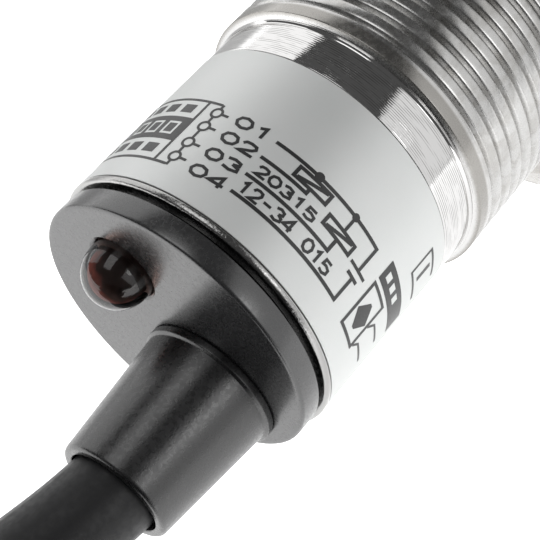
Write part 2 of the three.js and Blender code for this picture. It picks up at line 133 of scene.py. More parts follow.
# ---- the cable's route: the lead is as in the CAD ----
LEAD_ROUTE = [
    (-37.3, -2.5, 9.4),
    (-38.6, -2.36, 9.4),
    (-40.4, -2.08, 9.33),
    (-42.4, -1.62, 9.16),
    (-44.8, -0.88, 8.74),
    (-47.6, 0.05, 7.98),
    (-50.8, 1.12, 6.86),
    (-54.0, 2.18, 5.6),
    (-57.0, 3.17, 4.55),
]
COIL_X, COIL_Y = -84.6, -20.0
COIL_INNER, COIL_OUTER = 19.4, 30.6
COIL_LIFT = 0.7
COIL_LAYERS = 5
LAYER_PITCH = 5.06
COIL_ENTRY = 71.5  # degrees round the coil, where the lead meets it
COIL_TOP = COIL_LIFT + COIL_LAYERS * LAYER_PITCH
TAIL_Z = COIL_TOP + 0.3 + CABLE_R
TAIL_ROUTE = [(172, 20.2), (194, 21.4), (216, 22.9), (237, 24.5), (257, 26.0)]
CORES = {
    "brown": (22.3, -0.9, 0.9),
    "white": (24.9, -0.9, -0.9),
    "blue": (27.5, 0.9, -0.9),
    "black": (30.1, 0.9, 0.9),
}
STRAP_ANGLE = 15
STRAP_WIDTH = 5.0
STRAP_THICKNESS = 0.4
ANGLE_STEP = 7.5  # degrees between the points of a turn
LAYER_STEPS = 106
CLIMB_STEPS = 12  # from one layer to the next
RUN_STEPS = 8  # from the lead to the coil


def on_coil(angle, radius, z):
    a = math.radians(angle)
    return (COIL_X + radius * math.cos(a), COIL_Y + radius * math.sin(a), z)


def smoothed(points, steps):
    """A centripetal Catmull-Rom curve through the points."""
    knots = [Vector(p) for p in points]
    knots = [2 * knots[0] - knots[1], *knots, 2 * knots[-1] - knots[-2]]
    out = []
    for p0, p1, p2, p3 in zip(knots, knots[1:], knots[2:], knots[3:]):
        t0 = 0.0
        t1 = t0 + (p1 - p0).length ** 0.5
        t2 = t1 + (p2 - p1).length ** 0.5
        t3 = t2 + (p3 - p2).length ** 0.5
        for i in range(steps):
            t = t1 + (t2 - t1) * i / steps
            a1 = p0 * ((t1 - t) / (t1 - t0)) + p1 * ((t - t0) / (t1 - t0))
            a2 = p1 * ((t2 - t) / (t2 - t1)) + p2 * ((t - t1) / (t2 - t1))
            a3 = p2 * ((t3 - t) / (t3 - t2)) + p3 * ((t - t2) / (t3 - t2))
            b1 = a1 * ((t2 - t) / (t2 - t0)) + a2 * ((t - t0) / (t2 - t0))
            b2 = a2 * ((t3 - t) / (t3 - t1)) + a3 * ((t - t1) / (t3 - t1))
            out.append(b1 * ((t2 - t) / (t2 - t1)) + b2 * ((t - t1) / (t2 - t1)))
    out.append(knots[-2])
    return out


def ease(t):
    t = min(max(t, 0.0), 1.0)
    return t * t * (3 - 2 * t)


def cable_route():
    points = smoothed(LEAD_ROUTE, 4)
    # On to the coil, settling onto the height of its first layer.
    start = Vector(LEAD_ROUTE[-1])
    end = Vector(on_coil(COIL_ENTRY, COIL_OUTER, COIL_LIFT + CABLE_R))
    entry = math.radians(COIL_ENTRY)
    run = (end - start).length
    leaving = (start - Vector(LEAD_ROUTE[-2])).normalized() * run
    arriving = Vector((-math.sin(entry), math.cos(entry), 0)) * run
    for i in range(1, RUN_STEPS):
        t = i / RUN_STEPS
        points.append(
            start * (1 - 3 * t * t + 2 * t ** 3)
            + leaving * (t - 2 * t * t + t ** 3)
            + end * (3 * t * t - 2 * t ** 3)
            + arriving * (t ** 3 - t * t)
        )
    # The layers run inward and outward in turn, and climb at each turning point.
    angle = COIL_ENTRY
    z = COIL_LIFT + CABLE_R
    for layer in range(COIL_LAYERS):
        r0, r1 = (COIL_OUTER, COIL_INNER) if layer % 2 == 0 else (COIL_INNER, COIL_OUTER)
        for i in range(LAYER_STEPS):
            points.append(Vector(on_coil(angle, r0 + (r1 - r0) * i / LAYER_STEPS, z)))
            angle += ANGLE_STEP
        if layer + 1 < COIL_LAYERS:
            for i in range(CLIMB_STEPS):
                points.append(Vector(on_coil(angle, r1, z + LAYER_PITCH * ease(i / CLIMB_STEPS))))
                angle += ANGLE_STEP
            z += LAYER_PITCH
    # From the top layer's inner turn, up and over it to the cable's end.
    tail_angle, tail_r = TAIL_ROUTE[0]
    last = tail_angle + 360 * math.ceil((angle - tail_angle) / 360)
    steps = round((last - angle) / ANGLE_STEP)
    for i in range(steps):
        t = i / steps
        radius = COIL_INNER + (tail_r - COIL_INNER) * ease(t) ** 2
        height = z + (TAIL_Z - z) * ease(t)
        points.append(Vector(on_coil(angle + (last - angle) * t, radius, height)))
    points += smoothed([on_coil(a, r, TAIL_Z) for a, r in TAIL_ROUTE], 6)
    return points


# ---- materials ----
class Look:
    """A Principled material with short calls for the nodes that vary it."""

    def __init__(self, name, base, roughness, metallic=0.0, **extra):
        self.material = bpy.data.materials.new(name)
        self.material.use_nodes = True
        self.nodes = self.material.node_tree.nodes
        self.links = self.material.node_tree.links
        self.shader = self.nodes["Principled BSDF"]
        extra |= {"Base_Color": (*base, 1), "Roughness": roughness, "Metallic": metallic}
        for key, value in extra.items():
            self.put(self.shader, key.replace("_", " "), value)
        self.place = self.nodes.new("ShaderNodeTexCoord").outputs["Object"]
        self.height = None

    def put(self, node, name, value):
        if isinstance(value, bpy.types.NodeSocket):
            self.links.new(value, node.inputs[name])
        else:
            node.inputs[name].default_value = value

    def scaled(self, x, y, z):
        """Object coordinates, times a factor along each axis, in 1 / mm."""
        node = self.nodes.new("ShaderNodeMapping")
        self.links.new(self.place, node.inputs["Vector"])
        node.inputs["Scale"].default_value = (x / MM, y / MM, z / MM)
        return node.outputs["Vector"]

    def noise(self, scale, detail=3.0, roughness=0.55, distortion=0.0, stretch=(1, 1, 1)):
        """Noise from 0 to 1. The scale is in features a millimetre."""
        node = self.nodes.new("ShaderNodeTexNoise")
        self.links.new(self.scaled(*(scale * s for s in stretch)), node.inputs["Vector"])
        self.put(node, "Scale", 1.0)
        self.put(node, "Detail", detail)
        self.put(node, "Roughness", roughness)
        self.put(node, "Distortion", distortion)
        return node.outputs["Fac"]

    def cells(self, scale, feature="F1", stretch=(1, 1, 1)):
        node = self.nodes.new("ShaderNodeTexVoronoi")
        node.feature = feature
        self.links.new(self.scaled(*(scale * s for s in stretch)), node.inputs["Vector"])
        self.put(node, "Scale", 1.0)
        return node.outputs["Distance"]

    def math(self, kind, a, b=0.0):
        node = self.nodes.new("ShaderNodeMath")
        node.operation = kind
        self.put(node, 0, a)
        self.put(node, 1, b)
        return node.outputs[0]

    def axis(self, index):
        """One object coordinate, in millimetres."""
        node = self.nodes.new("ShaderNodeSeparateXYZ")
        self.links.new(self.place, node.inputs[0])
        return self.math("MULTIPLY", node.outputs[index], 1 / MM)

    def ramp(self, value, low, high, start=0.0, end=1.0):
        """Carries value from low..high to start..end, and holds it there outside."""
        node = self.nodes.new("ShaderNodeMapRange")
        node.interpolation_type = "SMOOTHSTEP"
        names = ("Value", "From Min", "From Max", "To Min", "To Max")
        for name, v in zip(names, (value, low, high, start, end)):
            self.put(node, name, v)
        return node.outputs["Result"]

    def mix(self, factor, a, b):
        node = self.nodes.new("ShaderNodeMix")
        node.data_type = "RGBA"
        self.put(node, 0, factor)
        for index, colour in ((6, a), (7, b)):
            self.put(node, index, (*colour, 1) if isinstance(colour, tuple) else colour)
        return node.outputs[2]

    def colour(self, value):
        self.links.new(value, self.shader.inputs["Base Color"])

    def mottle(self, noise, a, b):
        self.colour(self.mix(noise, a, b))

    def roughness(self, value):
        self.links.new(value, self.shader.inputs["Roughness"])

    def uneven(self, noise, low, high, start=0.3, end=0.7):
        """Roughness that follows a noise."""
        self.roughness(self.ramp(noise, start, end, low, high))

    def bump(self, height, microns):
        """Adds relief: height runs from 0 to 1, for that many thousandths of a millimetre."""
        node = self.nodes.new("ShaderNodeBump")
        node.inputs["Distance"].default_value = microns * MM / 1000
        self.links.new(height, node.inputs["Height"])
        if self.height is not None:
            self.links.new(self.height, node.inputs["Normal"])
        self.height = node.outputs["Normal"]
        self.links.new(self.height, self.shader.inputs["Normal"])

    def grain(self, microns, *noise):
        self.bump(self.noise(*noise), microns)


TURNING_PITCH = 0.13  # between the tool lines on the neck


def nickel_look():
    look = Look("nickel", (0.62, 0.615, 0.605), 0.16, 1.0)
    x = look.axis(0)

    def only(zone, value):
        return look.math("MULTIPLY", value, zone)

    neck = only(
        look.ramp(x, NECK_END - 0.1, NECK_END, 1.0, 0.0),
        look.ramp(x, LABEL_FRONT, LABEL_FRONT + 0.1),
    )
    land = only(
        look.ramp(x, LAND_END - 0.05, LAND_END + 0.15, 1.0, 0.0),
        look.ramp(x, LAND_START - 0.05, LAND_START + 0.05),
    )
    threaded = look.ramp(x, LAND_END - 0.1, LAND_END + 0.3)
    rim = look.ramp(x, LABEL_REAR - 0.1, LABEL_REAR, 1.0, 0.0)
    # Clouding on the threads. The plain land and the rim are darker copies of the same plate:
    # painted shade.
    cloud = look.ramp(look.noise(0.9, 4, 0.6, 0.4, (0.6, 1, 1)), 0.42, 0.66)
    tint = look.mix(threaded, (0.61, 0.605, 0.6), (0.5, 0.497, 0.49))
    tint = look.mix(only(threaded, cloud), tint, (0.42, 0.413, 0.4))
    # Painted shade: the land and the rim get a darker tint of the same nickel.
    tint = look.mix(land, tint, (0.31, 0.3, 0.284))
    tint = look.mix(rim, tint, (0.34, 0.337, 0.332))
    # Tool lines round the neck, some fainter than others.
    wave = look.math("SINE", look.math("MULTIPLY", x, 2 * math.pi / TURNING_PITCH))
    drift = look.noise(4.0, 2, 0.6, 0.0, (1, 0.15, 0.15))
    line = look.math("MULTIPLY", only(neck, wave), look.ramp(drift, 0.3, 0.62))
    look.colour(look.mix(look.ramp(line, 0.1, 1.0), tint, (0.3, 0.298, 0.294)))
    satin = look.ramp(x, LAND_START - 0.1, LAND_START, 0.08, 0.26)
    wear = look.ramp(look.noise(3.2, 4, 0.65), 0.35, 0.75, -0.03, 0.07)
    look.roughness(look.math("ADD", satin, wear))
    look.bump(only(neck, look.math("ADD", line, drift)), 1.3)
    look.bump(only(rim, look.noise(5.0, 3, 0.7, 1.0, (1.6, 1, 1))), 16)
    look.bump(only(threaded, look.noise(6, 3, 0.6)), 1.2)
    return look.material


def hardware_look():
    look = Look("hardware", (0.5, 0.49, 0.47), 0.26, 1.0)
    cloud = look.ramp(look.noise(0.6, 4, 0.6, 0.3), 0.4, 0.7)
    look.mottle(cloud, (0.5, 0.49, 0.475), (0.44, 0.425, 0.4))
    look.uneven(look.noise(2.5, 4, 0.65), 0.22, 0.36, end=0.75)
    look.grain(0.6, 7, 3, 0.6)
    look.grain(3, 1.2, 2, 0.5)
    return look.material


def spring_look():
    look = Look("spring_steel", (0.55, 0.56, 0.57), 0.32, 1.0)
    look.mottle(look.noise(1.5, 4), (0.5, 0.51, 0.53), (0.6, 0.6, 0.59))
    look.uneven(look.noise(5, 4), 0.25, 0.45, end=0.75)
    look.grain(3, 9, 3)
    return look.material


def foil_look():
    look = Look("label_foil", (0.6, 0.6, 0.6), 0.53, 0.5)
    look.mottle(look.noise(0.35, 2, 0.5), (0.72, 0.725, 0.72), (0.67, 0.69, 0.68))
    look.uneven(look.noise(12, 3), 0.5, 0.56)
    look.grain(0.8, 22, 2, 0.6)
    look.grain(3, 0.7, 2, 0.5)
    return look.material


def ink_look():
    look = Look("ink", (0.02, 0.02, 0.022), 0.35)
    look.mottle(look.noise(9, 3), (0.014, 0.014, 0.015), (0.035, 0.036, 0.036))
    look.uneven(look.noise(14, 2), 0.3, 0.45)
    return look.material


def plastic_look():
    look = Look("black_plastic", (0.02, 0.02, 0.021), 0.24, Specular_IOR_Level=1.0)
    look.mottle(look.noise(0.8, 4), (0.017, 0.017, 0.018), (0.026, 0.026, 0.027))
    look.uneven(look.noise(5, 4), 0.2, 0.3)
    look.grain(0.25, 13, 2, 0.5)
    look.grain(1.2, 1.3, 2)
    return look.material


def boot_look():
    look = Look("boot_pvc", (0.008, 0.008, 0.009), 0.3, Specular_IOR_Level=0.85)
    look.mottle(look.noise(1.1, 4), (0.006, 0.006, 0.006), (0.011, 0.011, 0.012))
    look.uneven(look.noise(4, 4), 0.24, 0.34)
    look.grain(8, 8, 3, 0.65)
    look.grain(8, 1.6, 2)
    return look.material


def cable_look():
    look = Look("cable_pvc", (0.007, 0.007, 0.008), 0.5, Specular_IOR_Level=0.38)
    look.mottle(look.noise(0.9, 4), (0.005, 0.005, 0.006), (0.01, 0.01, 0.011))
    look.uneven(look.noise(3, 4), 0.44, 0.58)
    look.grain(5, 5, 3, 0.6)
    return look.material


def strap_look():
    look = Look("strap_weave", (0.02, 0.02, 0.02), 0.75, Sheen_Weight=0.4)
    weave = look.cells(3.2)
    # Painted shade: the colour darkens in the hollows between the weave's cells, where the bump is
    # low.
    look.mottle(look.ramp(weave, 0.1, 0.6), (0.035, 0.035, 0.036), (0.008, 0.008, 0.008))
    look.roughness(look.ramp(weave, 0.1, 0.6, 0.65, 0.85))
    look.bump(look.ramp(weave, 0.1, 0.6, 1.0, 0.0), 60)
    return look.material


def seal_look():
    look = Look("seal_rubber", (0.012, 0.012, 0.012), 0.6)
    look.mottle(look.noise(1.5, 3), (0.01, 0.01, 0.01), (0.018, 0.018, 0.018))
    look.grain(4, 6, 3)
    return look.material


def clear_look():
    look = Look("clear_lens", (0.72, 0.5, 0.44), 0.02, Transmission_Weight=1.0, IOR=1.5)
    look.mottle(look.noise(0.5, 2), (0.75, 0.54, 0.48), (0.68, 0.45, 0.39))
    look.uneven(look.noise(2, 2), 0.01, 0.035)
    look.grain(1.5, 1.1, 2, 0.5)
    return look.material


def core_look():
    """Painted light and shade: red-brown on the dome's +Y, lower side as if lit there, nearly
    black on the other side and on the foot, which sits in the lamp's hole.
    """
    look = Look("lamp_core", (0.05, 0.015, 0.012), 0.5, Specular_IOR_Level=0.15)
    across = look.math("SUBTRACT", look.axis(1), look.axis(2))
    y, z = LAMP
    middle = y - z - AXIS_Z
    wander = look.ramp(look.noise(1.4, 3), 0.3, 0.7, -0.35, 0.35)
    # Painted light on the dome's +Y, lower side; painted shade on the foot inside the hole.
    painted_lit_side = look.ramp(look.math("ADD", across, wander), middle - 0.5, middle + 1.0)
    dome = look.ramp(look.axis(0), CAP_FACE - 0.35, CAP_FACE - 0.05, 1.0, 0.0)
    painted_lit_side = look.math("MULTIPLY", painted_lit_side, dome)
    look.mottle(painted_lit_side, (0.01, 0.005, 0.004), (0.22, 0.055, 0.04))
    return look.material


def window_look():
    look = Look("red_window", (0.6, 0.02, 0.02), 0.03, Transmission_Weight=0.9, IOR=1.5)
    look.mottle(look.noise(0.4, 2), (0.62, 0.03, 0.03), (0.55, 0.015, 0.015))
    look.uneven(look.noise(1.5, 3), 0.02, 0.06, end=0.8)
    return look.material


def film_look():
    look = Look("polariser", (0.25, 0.25, 0.28), 0.1, Transmission_Weight=0.8, IOR=1.5)
    drawn = look.noise(4, 2, 0.5, 0, (1, 1, 0.02))
    look.mottle(drawn, (0.2, 0.2, 0.23), (0.3, 0.3, 0.33))
    return look.material


def board_look():
    look = Look("solder_mask", (0.03, 0.16, 0.07), 0.35)
    tracks = look.cells(0.9, "DISTANCE_TO_EDGE", (1, 1, 0.02))
    look.mottle(look.ramp(tracks, 0.08, 0.14), (0.05, 0.24, 0.1), (0.02, 0.12, 0.05))
    look.bump(look.ramp(tracks, 0.08, 0.14, 1.0, 0.0), 20)
    return look.material


def plain_look(name, base, roughness, metallic=0.0, grain=4.0, microns=4.0):
    """A moulded, fired or drawn part inside: a base that varies a little, with a fine grain."""
    look = Look(name, base, roughness, metallic)
    dark = tuple(0.8 * c for c in base)
    light = tuple(min(1.15 * c, 1) for c in base)
    look.mottle(look.noise(grain / 3, 4), dark, light)
    look.uneven(look.noise(grain, 3), roughness - 0.06, roughness + 0.08)
    look.grain(microns, grain, 3)
    return look.material


LOOKS = {
    "nickel_plate": nickel_look(),
    "hardware_plate": hardware_look(),
    "spring_steel": spring_look(),
    "label_foil": foil_look(),
    "ink": ink_look(),
    "black_plastic": plastic_look(),
    "black_pvc": boot_look(),
    "cable_pvc": cable_look(),
    "strap": strap_look(),
    "seal_rubber": seal_look(),
    "board": board_look(),
    "chip": plain_look("chip_body", (0.035, 0.035, 0.038), 0.5),
    "ceramic": plain_look("ceramic", (0.48, 0.36, 0.22), 0.45),
    "tantalum": plain_look("tantalum", (0.68, 0.38, 0.06), 0.45),
    "resin": plain_look("resin", (0.03, 0.024, 0.02), 0.25, 0.0, 2.0, 12.0),
    "tinned_copper": plain_look("tinned_copper", (0.6, 0.58, 0.55), 0.28, 1.0),
    "crimp_brass": plain_look("crimp_brass", (0.62, 0.45, 0.2), 0.3, 1.0),
    "lamp_core": core_look(),
    "clear_lens": clear_look(),
    "red_window": window_look(),
    "polariser": film_look(),
    "core_brown": plain_look("core_brown", (0.12, 0.045, 0.02), 0.45),
    "core_black": plain_look("core_black", (0.018, 0.018, 0.019), 0.45),
    "core_white": plain_look("core_white", (0.72, 0.71, 0.67), 0.45),
    "core_blue": plain_look("core_blue", (0.02, 0.07, 0.3), 0.45),
}


# ---- mesh helpers ----
MERGE = 2e-7  # metres: vertices closer than this become one
BEVEL_SEGMENTS = 3
SHARP = 32  # degrees: a sharper edge isn't smoothed


class Shape:
    """Vertices in millimetres, with the sensor's axis at zero, and faces."""

    def __init__(self):
        self.points = []
        self.faces = []

    def add(self, points):
        start = len(self.points)
        self.points += points
        return start

    def grid(self, rows, close_rows=False, close_columns=False):
        """A sheet through rows of points."""
        count = len(rows[0])
        start = self.add([p for row in rows for p in row])
        for i in range(len(rows) if close_rows else len(rows) - 1):
            for j in range(count if close_columns else count - 1):
                a, b = start + i * count, start + (i + 1) % len(rows) * count
                k = (j + 1) % count
                self.faces.append((a + j, a + k, b + k, b + j))


def rounded(corners, steps=4):
    """A closed outline of (x, r) from corners (x, r) or (x, r, fillet radius)."""
    out = []
    n = len(corners)
    for i, (x, r, *fillet) in enumerate(corners):
        if not fillet:
            out.append((x, r))
            continue
        fillet = fillet[0]
        here = Vector((x, r))
        before = (Vector(corners[i - 1][:2]) - here).normalized()
        after = (Vector(corners[(i + 1) % n][:2]) - here).normalized()
        half = before.angle(after) / 2
        back = fillet / math.tan(half)
        centre = here + (before + after).normalized() * (fillet / math.sin(half))
        a = here + before * back - centre
        b = here + after * back - centre
        turn = a.angle(b)
        for k in range(steps + 1):
            t = k / steps
            p = (a * math.sin((1 - t) * turn) + b * math.sin(t * turn)) / math.sin(turn)
            out.append(tuple(centre + p))
    return out


def around(x, r, angle):
    return (x, r * math.cos(angle), r * math.sin(angle))


def ring(x, r, centre, segments):
    y, z = centre
    return [
        (x, y + r * math.cos(a), z + r * math.sin(a))
        for a in (2 * math.pi * j / segments for j in range(segments))
    ]


def turned(outline, centre=(0, 0), segments=160):
    """A turned solid about the X axis from a closed outline of (x, r)."""
    shape = Shape()
    shape.grid([ring(x, r, centre, segments) for x, r in outline], True, True)
    return shape


def to_mesh(name, shape, lift=AXIS_Z, bevel=None):
    """A mesh in metres, raised to the axis; bevel is a test for an edge, and a width."""
    mesh = bpy.data.meshes.new(name)
    mesh.from_pydata(
        [(x * MM, y * MM, (z + lift) * MM) for x, y, z in shape.points], [], shape.faces
    )
    bm = bmesh.new()
    bm.from_mesh(mesh)
    bmesh.ops.remove_doubles(bm, verts=bm.verts, dist=MERGE)
    bmesh.ops.dissolve_degenerate(bm, edges=bm.edges, dist=MERGE)
    bmesh.ops.recalc_face_normals(bm, faces=bm.faces)
    if bevel:
        chosen, width = bevel
        edges = [e for e in bm.edges if len(e.link_faces) == 2 and chosen(e)]
        bmesh.ops.bevel(
            bm, geom=edges, offset=width * MM, segments=BEVEL_SEGMENTS, profile=0.5,
            affect="EDGES", clamp_overlap=True,
        )
    bm.to_mesh(mesh)
    bm.free()
    return mesh


def soften(mesh, sharp):
    """Smooth shading that breaks at edges sharper than this many degrees."""
    mesh.shade_smooth()
    bm = bmesh.new()
    bm.from_mesh(mesh)
    limit = math.radians(sharp)
    for edge in bm.edges:
        edge.smooth = len(edge.link_faces) == 2 and edge.calc_face_angle(0) < limit
    bm.to_mesh(mesh)
    bm.free()


def piece(name, mesh, look, body="sensor", replaced=(), sharp=SHARP):
    """One piece of the part, with its look as its material."""
    if isinstance(mesh, Shape):
        mesh = to_mesh(name, mesh)
    soften(mesh, sharp)
    mesh.materials.clear()
    mesh.materials.append(LOOKS[look])
    obj = linked(name, mesh)
    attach(obj, body)
    if replaced:
        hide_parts(*replaced)
    return obj


def carved(name, mesh, cutters):
    """The mesh with other closed meshes taken out of it."""
    obj = linked(name + "_blank", mesh)
    tools = []
    for i, cutter in enumerate(cutters):
        tools.append(linked(f"{name}_tool_{i}", cutter))
        modifier = obj.modifiers.new("cut", "BOOLEAN")
        modifier.solver = "EXACT"
        modifier.object = tools[-1]
    graph = bpy.context.evaluated_depsgraph_get()
    result = bpy.data.meshes.new_from_object(obj.evaluated_get(graph))
    result.name = name
    for spare in (obj, *tools):
        bpy.data.objects.remove(spare)
    return result


# ---- thread ----
# Half the profile, from a crest's middle to a groove's middle: share of the pitch, depth.
HALF_PROFILE = [
    (0.0, 0.0), (0.1, 0.001), (0.18, 0.006), (0.25, 0.014), (0.3, 0.028), (0.325, 0.045),
    (0.345, 0.075), (0.37, 0.115), (0.455, 0.265), (0.48, 0.293), (0.5, 0.3),
]
PHASES = [p for p, _ in HALF_PROFILE] + [1 - p for p, _ in HALF_PROFILE[-2:0:-1]]


def groove_depth(phase):
    """Depth at a place in the pitch: 0 and 1 are the crest's middle."""
    shares, depths = zip(*HALF_PROFILE)
    along = phase % 1.0
    return float(np.interp(min(along, 1 - along), shares, depths))


def thread_depth(x, angle):
    phase = (x - GROOVE_X) / PITCH + 0.5 - angle / (2 * math.pi)
    return groove_depth(phase)


def threaded_columns(x0, x1, radius_at, segments):
    """One column of points for each angle, following the helix and held between x0 and x1.

    Column n is column 0 again, one pitch further on.
    """
    # Start a little over one turn before x0, with a crest's middle at angle zero.
    first = math.floor((x0 - PITCH - GROOVE_X) / PITCH) * PITCH + GROOVE_X - PITCH / 2
    turns = math.ceil((x1 - first) / PITCH) + 1
    offsets = [first + (k + p) * PITCH for k in range(turns) for p in PHASES]
    columns = []
    for j in range(segments):
        angle = 2 * math.pi * j / segments
        column = []
        for offset in offsets:
            x = min(max(offset + PITCH * j / segments, x0), x1)
            column.append(around(x, radius_at(x, angle), angle))
        columns.append(column)
    return columns


def add_thread(shape, columns):
    count = len(columns[0])
    start = shape.add([p for column in columns for p in column])
    turn = len(PHASES)
    for j in range(len(columns)):
        last = j + 1 == len(columns)
        for i in range(count - 1 - (turn if last else 0)):
            a = start + j * count + i
            b = start + turn + i if last else a + count
            shape.faces.append((a, b, b + 1, a + 1))


THREAD_SEGMENTS = 128


def build_housing():
    front_chamfer = 0.4

    def radius_at(x, angle):
        depth = thread_depth(x, angle) * ease((x - LAND_END) / RUN_OUT)
        return min(THREAD_R - depth, THREAD_R - front_chamfer + (BARREL_FRONT - x))

    columns = threaded_columns(LAND_END, BARREL_FRONT, radius_at, THREAD_SEGMENTS)
    under_label = LABEL_R - LABEL_RECESS
    rim_r = LABEL_R + 0.02
    rear = rounded([
        (BARREL_FRONT, BORE_R),
        (BARREL_REAR, BORE_R, 0.1),
        (BARREL_REAR, rim_r, 0.2),
        (LABEL_REAR, rim_r, 0.1),
        (LABEL_REAR, under_label),
        (LABEL_FRONT, under_label),
        (LABEL_FRONT, NECK_R, 0.03),
        (NECK_END, NECK_R, 0.12),
        (NECK_END + 0.12, NECK_R + 0.14, 0.03),
        (NECK_END + 0.17, NECK_R + 0.02, 0.02),
        (LAND_START - 0.04, NECK_R + 0.22, 0.03),
        (LAND_START + 0.06, THREAD_R, 0.06),
        (LAND_END, THREAD_R),
    ])
    shape = Shape()
    shape.grid([ring(x, r, (0, 0), THREAD_SEGMENTS) for x, r in rear], False, True)
    add_thread(shape, columns)
    mouth = []
    for inner in (None, BORE_R):
        row = []
        for j in range(THREAD_SEGMENTS):
            angle = 2 * math.pi * j / THREAD_SEGMENTS
            row.append(around(BARREL_FRONT, inner or radius_at(BARREL_FRONT, angle), angle))
        mouth.append(row)
    shape.grid(mouth, False, True)
    piece("housing", shape, "nickel_plate", replaced=["barrel"])


build_housing()


# ---- label ----
PRINT_STEP = 1.5  # degrees
DEGREE = math.radians(1) * LABEL_R  # millimetres round the label for one degree
MITRE_LIMIT = 0.4
FIGURE_WIDTH = 0.8  # share of the pitch of the figures


def on_label(angle, s, r):
    """A point by its angle from -Y up over the top, its distance s from the label's rear edge,
    and its radius."""
    a = math.radians(angle)
    return (LABEL_REAR + s, -r * math.cos(a), r * math.sin(a))


def build_foil():
    seam = 2.9  # degrees, half the gap underneath
    edge = 0.015
    inner = LABEL_R - LABEL_THICKNESS
    rear = 0.05
    front = LABEL_FRONT - LABEL_REAR - 0.05
    corners = [
        (rear, inner),
        (rear, LABEL_R - edge),
        (rear + edge, LABEL_R),
        (front - edge, LABEL_R),
        (front, LABEL_R - edge),
        (front, inner),
    ]
    shape = Shape()
    angles = np.linspace(seam - 90, 270 - seam, 180)
    rows = [[on_label(a, s, r) for s, r in corners] for a in angles]
    shape.grid(rows, False, True)
    for row in (0, len(rows) - 1):
        first = row * len(corners)
        shape.faces.append(tuple(range(first, first + len(corners))))
    piece("label", shape, "label_foil", replaced=["label_foil"])


class Print:
    """Flat print wrapped round the label: each mark is a thin closed slab."""

    def __init__(self, bottom, top):
        self.shape = Shape()
        self.levels = (LABEL_R + bottom, LABEL_R + top)

    def slab(self, rows, closed=False):
        """Joins rows of a low and a high (angle, s) into one slab, with its two ends closed."""
        bottom, top = self.levels
        sections = []
        for low, high in rows:
            corners = ((low, bottom), (low, top), (high, top), (high, bottom))
            sections.append([on_label(*place, r) for place, r in corners])
        start = len(self.shape.points)
        self.shape.grid(sections, closed, True)
        if not closed:
            for row in (0, len(rows) - 1):
                first = start + 4 * row
                self.shape.faces.append((first, first + 1, first + 2, first + 3))

    def patch(self, a0, a1, low, high):
        """The area between two outlines, each s as a function of the angle."""
        count = max(2, math.ceil(abs(a1 - a0) / PRINT_STEP) + 1)
        self.slab([((a, low(a)), (a, high(a))) for a in np.linspace(a0, a1, count)])

    def bar(self, a0, a1, s0, s1):
        self.patch(a0, a1, lambda a: s0, lambda a: s1)

    def disc(self, angle, s, radius):
        reach = math.degrees(radius / LABEL_R)
        rows = []
        for t in np.linspace(-1.45, 1.45, 11):
            a, half = angle + reach * math.sin(t), radius * math.cos(t)
            rows.append(((a, s - half), (a, s + half)))
        self.slab(rows)

    def line(self, points, width, closed=False):
        """A stroke through (angle, s) points, with mitred corners."""
        path = [Vector((a * DEGREE, s)) for a, s in points]
        dense = []
        for p, q in zip(path, path[1:] + path[:1] if closed else path[1:]):
            parts = max(1, math.ceil((q - p).length / (PRINT_STEP * DEGREE)))
            dense += [p.lerp(q, k / parts) for k in range(parts)]
        if not closed:
            dense.append(path[-1])
        n = len(dense)
        rows = []
        for i, p in enumerate(dense):
            back = (p - dense[i - 1]).normalized() if i or closed else None
            on = (dense[(i + 1) % n] - p).normalized() if i + 1 < n or closed else back
            back = back or on
            along = (back + on).normalized()
            side = Vector((-along.y, along.x)) * (width / 2 / max(along.dot(on), MITRE_LIMIT))
            rows.append([(q.x / DEGREE, q.y) for q in (p + side, p - side)])
        self.slab(rows, closed)

    def ring(self, angle, s, radius, width, points=20):
        turns = (2 * math.pi * k / points for k in range(points))
        path = [(angle + radius / DEGREE * math.cos(t), s + radius * math.sin(t)) for t in turns]
        self.line(path, width, closed=True)

    def box(self, a0, a1, s0, s1, width):
        self.line([(a0, s0), (a1, s0), (a1, s1), (a0, s1)], width, closed=True)

    def number(self, text, a0, a1, s0, s1, width):
        """Figures from angle a0, on the left, to a1, standing from s0 up to s1."""
        pitch = (a1 - a0) / len(text)
        for i, figure in enumerate(text):
            left = a0 + pitch * (i + (1 - FIGURE_WIDTH) / 2)
            for stroke in FIGURES.get(figure, []):
                closed = stroke[0] == stroke[-1]
                points = [(left + pitch * FIGURE_WIDTH * x, s0 + (s1 - s0) * y) for x, y in stroke]
                self.line(points[:-1] if closed else points, width, closed)


# Plain stroked figures in a box one wide and one high.
FIGURES = {
    "0": [[(0.5, 1), (0.86, 0.86), (1, 0.5), (0.86, 0.14), (0.5, 0), (0.14, 0.14), (0, 0.5),
           (0.14, 0.86), (0.5, 1)]],
    "1": [[(0.2, 0.76), (0.58, 1), (0.58, 0)]],
    "2": [[(0.04, 0.74), (0.2, 0.95), (0.5, 1), (0.85, 0.93), (0.93, 0.7), (0.78, 0.48), (0.04, 0),
           (1, 0)]],
    "3": [[(0.05, 0.88), (0.45, 1), (0.85, 0.9), (0.88, 0.66), (0.5, 0.53)],
          [(0.5, 0.53), (0.92, 0.4), (0.96, 0.15), (0.5, 0), (0.04, 0.1)]],
    "4": [[(0.75, 0), (0.75, 1), (0, 0.3), (1, 0.3)]],
    "5": [[(0.9, 1), (0.15, 1), (0.1, 0.58), (0.5, 0.64), (0.95, 0.5), (0.95, 0.16), (0.5, 0),
           (0.04, 0.1)]],
    "-": [[(0.1, 0.5), (0.9, 0.5)]],
}


